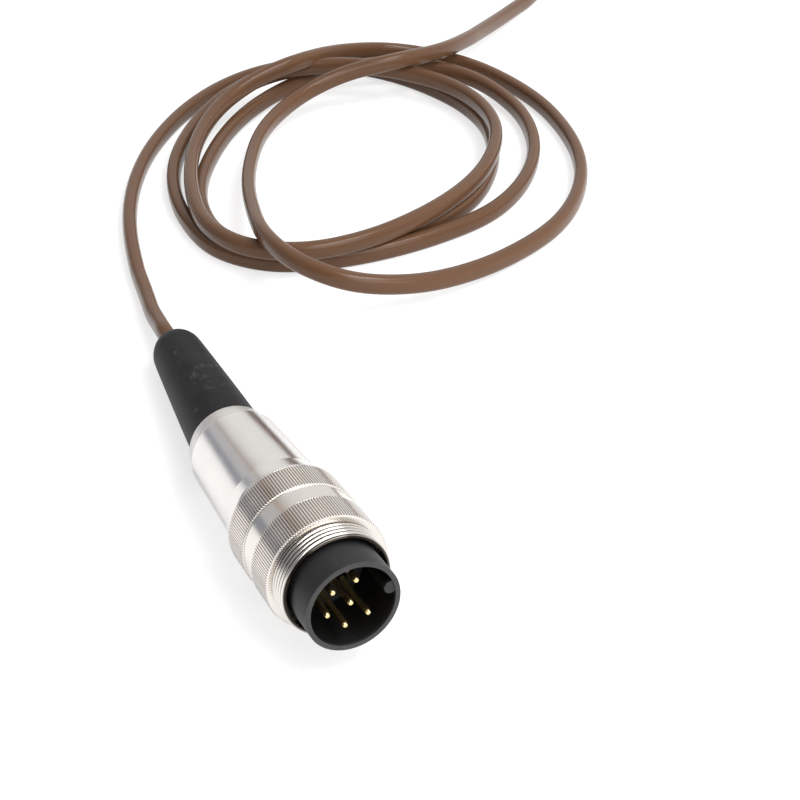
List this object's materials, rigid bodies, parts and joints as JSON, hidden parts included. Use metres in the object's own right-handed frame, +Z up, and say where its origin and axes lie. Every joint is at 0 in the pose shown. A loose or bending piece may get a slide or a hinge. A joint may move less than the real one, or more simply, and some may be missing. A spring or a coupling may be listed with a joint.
{
  "type": "thermocouple penetration probe",
  "caption": "Pointed needle probe with a plain round handle, joined by a thin flat lead to a round multi-pin plug with a knurled screw ring.",
  "frame": {"origin": "centre of the base of the plug and the probe, on the surface that they lie on", "axes": "+Z up; +Y from the plug towards the probe, the way the plug's cable end points; -X the way the needle points"},
  "size_m": [0.2235, 0.2946, 0.0191],
  "materials": {
    "black_plastic": "matte black moulding",
    "black_rubber": "matte black rubber",
    "gold_plate": "gold plated",
    "bright_nickel": "bright nickel plate",
    "satin_nickel": "satin nickel plate",
    "brown_pvc": "smooth brown insulation",
    "copper": "bare copper",
    "pale_alloy": "bare copper-nickel wire",
    "stainless": "polished stainless steel",
    "tinned_copper": "tinned"
  },
  "bodies": {
    "probe": {"contact_insert": "black_plastic", "contact_pin_1": "gold_plate", "contact_pin_2": "gold_plate", "contact_pin_3": "gold_plate", "contact_pin_4": "gold_plate", "contact_pin_5": "gold_plate", "contact_pin_6": "gold_plate", "half_shell_left": "satin_nickel", "half_shell_right": "satin_nickel", "sleeve": "satin_nickel", "cable_clamp_lower": "tinned_copper", "cable_clamp_upper": "tinned_copper", "clamp_screw_1": "stainless", "clamp_screw_2": "stainless", "boot": "black_rubber", "core_copper": "copper", "core_alloy": "pale_alloy", "handle": "black_plastic", "handle_boot": "black_rubber", "needle_holder": "stainless", "needle": "stainless", "hot_junction": "tinned_copper", "probe_wire_copper": "copper", "probe_wire_alloy": "pale_alloy", "lead_collar": "tinned_copper", "handle_core_copper": "copper", "handle_core_alloy": "pale_alloy", "splice_copper": "tinned_copper", "splice_alloy": "tinned_copper", "lead": "brown_pvc"},
    "ring": {"coupling_ring": "bright_nickel"}
  },
  "joints": [
    {"name": "ring_spin", "type": "hinge", "parent": "probe", "child": "ring", "pos_m": [-0.04635, -0.13327, 0.00969], "axis": [0, 0.9964, -0.0845], "continuous": true}
  ]
}
